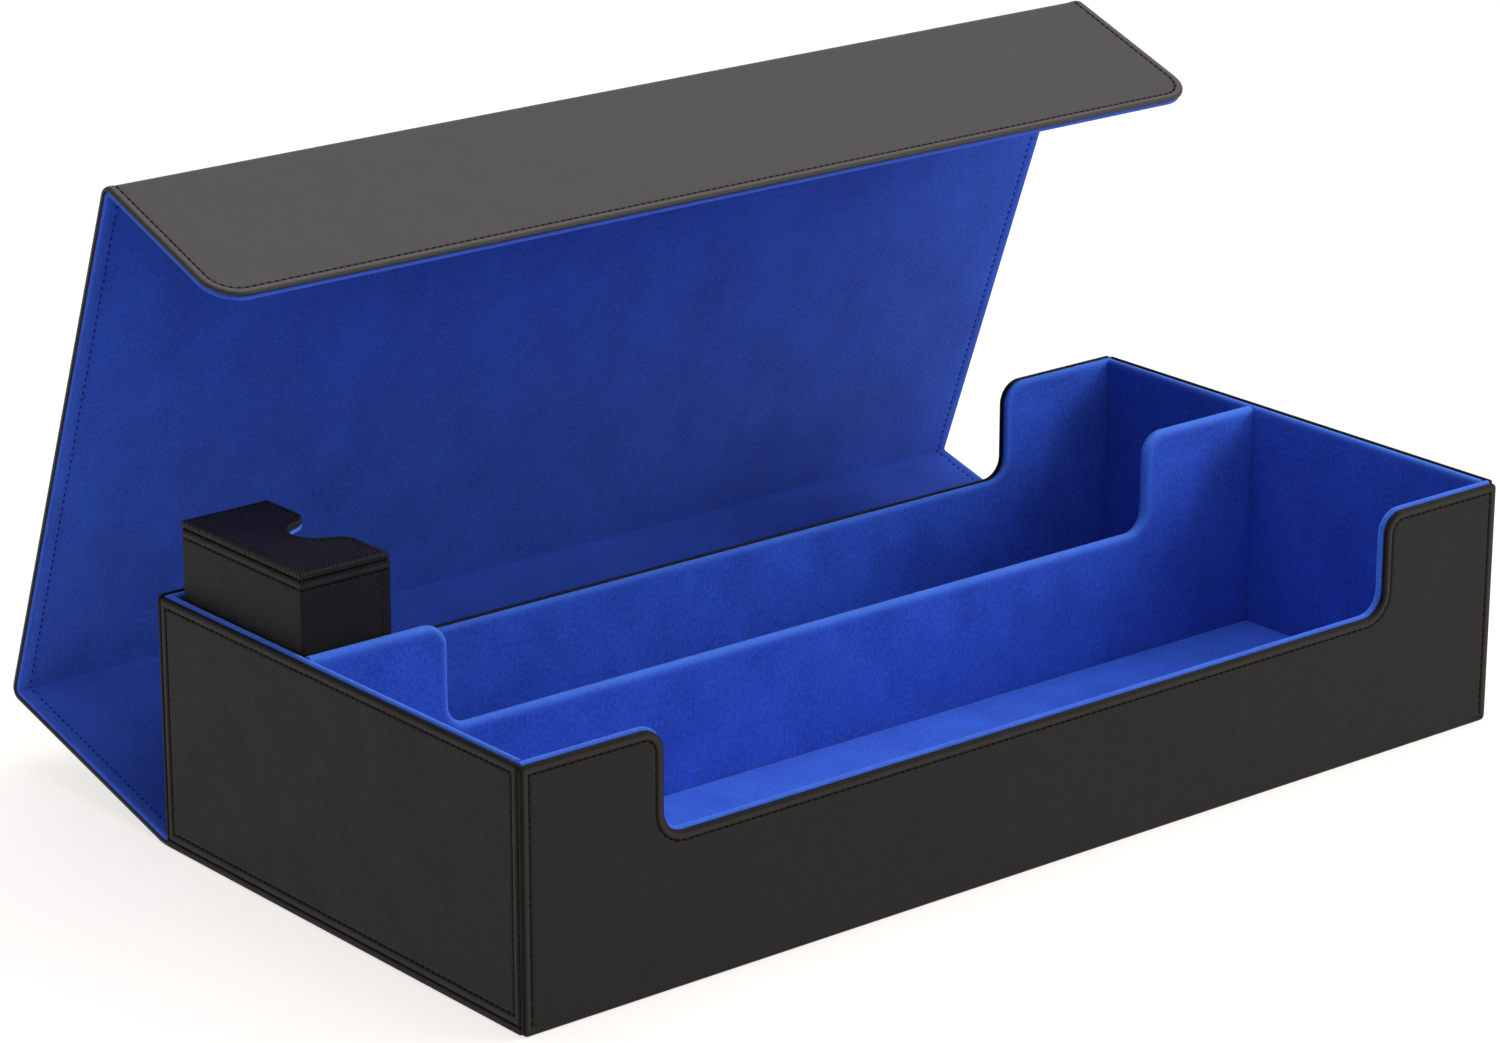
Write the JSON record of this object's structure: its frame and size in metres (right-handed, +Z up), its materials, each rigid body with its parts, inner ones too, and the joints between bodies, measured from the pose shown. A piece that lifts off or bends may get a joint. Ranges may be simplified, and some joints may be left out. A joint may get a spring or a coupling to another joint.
{
  "type": "card deck box",
  "caption": "Long two-row card storage box with notched walls, a divider, a wrap-round hinged cover with a front flap, and a small removable box in the rear row.",
  "frame": {"origin": "centre of the tray's footprint, on the plane it stands on", "axes": "+X along the tray to the right seen from the front, +Y from the front wall to the cover's first hinge, +Z up"},
  "size_m": [0.49, 0.3346, 0.2551],
  "materials": {
    "leather_tray": "fine cross-grained, low sheen",
    "leather_cover": "fine cross-grained, low sheen",
    "leather_mini": "fine diagonal-ribbed, low sheen",
    "suede_tray": "napped suede",
    "suede_cover": "napped suede",
    "suede_mini": "napped suede",
    "board": "plain grey-brown board",
    "steel": "plated"
  },
  "bodies": {
    "tray": {"front_wall": "leather_tray", "rear_wall": "leather_tray", "left_wall": "leather_tray", "right_wall": "leather_tray", "base_panel": "leather_tray", "floor_board": "board", "front_row_pad": "suede_tray", "rear_row_pad": "suede_tray", "front_liner": "suede_tray", "rear_liner": "suede_tray", "left_liner": "suede_tray", "right_liner": "suede_tray", "row_divider": "suede_tray", "wall_magnet_1": "steel", "wall_magnet_2": "steel", "wall_magnet_3": "steel", "wall_magnet_4": "steel", "base_hinge": "leather_cover"},
    "back": {"back_panel": "leather_cover", "back_panel_liner": "suede_cover", "back_hinge": "leather_cover"},
    "top": {"top_panel": "leather_cover", "top_panel_liner": "suede_cover"},
    "flap_fold": {"flap_hinge": "leather_cover"},
    "flap": {"flap_panel": "leather_cover", "flap_liner": "suede_cover", "flap_magnet_1": "steel", "flap_magnet_2": "steel", "flap_magnet_3": "steel", "flap_magnet_4": "steel"},
    "mini_box": {"mini_back": "leather_mini", "mini_front": "leather_mini", "mini_rear": "leather_mini", "mini_top": "leather_mini", "mini_bottom": "leather_mini", "mini_liner": "suede_mini"}
  },
  "joints": [
    {"name": "base_hinge_fold", "type": "hinge", "parent": "tray", "child": "back", "pos_m": [0, 0.1154, 0.0021], "axis": [1, 0, 0], "range_deg": [-15.8, 71.2]},
    {"name": "back_hinge_fold", "type": "hinge", "parent": "back", "child": "top", "pos_m": [0, 0.21999, 0.0317], "axis": [1, 0, 0], "range_deg": [-94.5, 0]},
    {"name": "flap_flare", "type": "hinge", "parent": "top", "child": "flap_fold", "pos_m": [0, 0.13794, 0.25351], "axis": [1, 0, 0], "range_deg": [-22.1, 5]},
    {"name": "flap_hinge_fold", "type": "hinge", "parent": "flap_fold", "child": "flap", "pos_m": [0, 0.13794, 0.25351], "axis": [1, 0, 0], "range_deg": [-94.3, 20.4]},
    {"name": "mini_box_slide", "type": "slide", "parent": "tray", "child": "mini_box", "axis": [0, 0, 1], "range_m": [-0.0314, 0.075]}
  ],
  "couplings": [
    {"joint": "mini_box_slide", "follows": "base_hinge_fold", "m_per_rad": -0.025188},
    {"joint": "flap_flare", "follows": "base_hinge_fold", "ratio": -0.30899}
  ]
}
